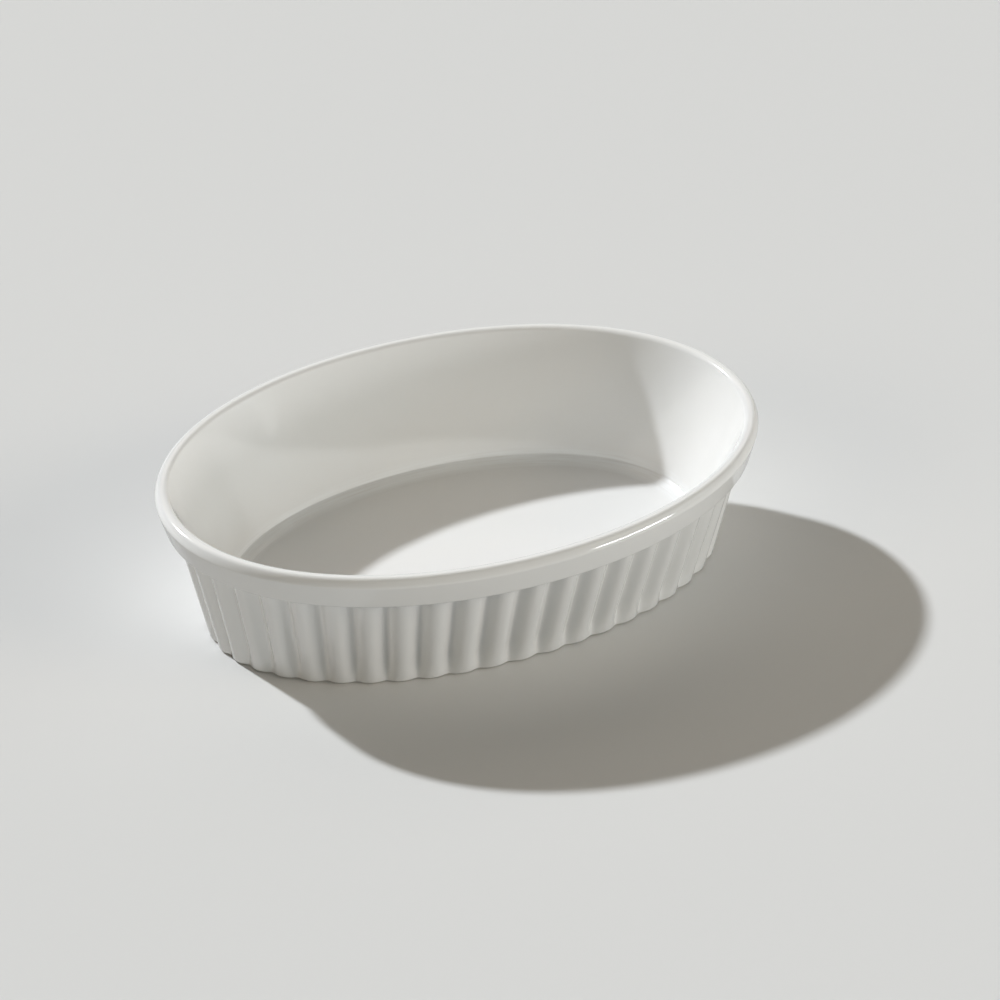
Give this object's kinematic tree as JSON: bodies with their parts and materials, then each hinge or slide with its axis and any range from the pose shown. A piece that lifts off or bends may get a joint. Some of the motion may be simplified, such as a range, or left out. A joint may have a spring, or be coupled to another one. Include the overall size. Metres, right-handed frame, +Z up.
{
  "type": "oval baking dish",
  "caption": "Oval fluted baking dish in glazed stoneware with a rounded rim, plain collar and foot ring, for baking and serving one portion.",
  "frame": {"origin": "centre of the resting plane, under the middle of the dish", "axes": "+X along the dish, +Y across it, +Z up out of its mouth"},
  "size_m": [0.165, 0.1232, 0.0408],
  "materials": {
    "white_glaze": "glossy off-white glaze with soft ripples, bare and matt on the foot ring"
  },
  "bodies": {
    "root": {"dish_body": "white_glaze"}
  },
  "joints": []
}
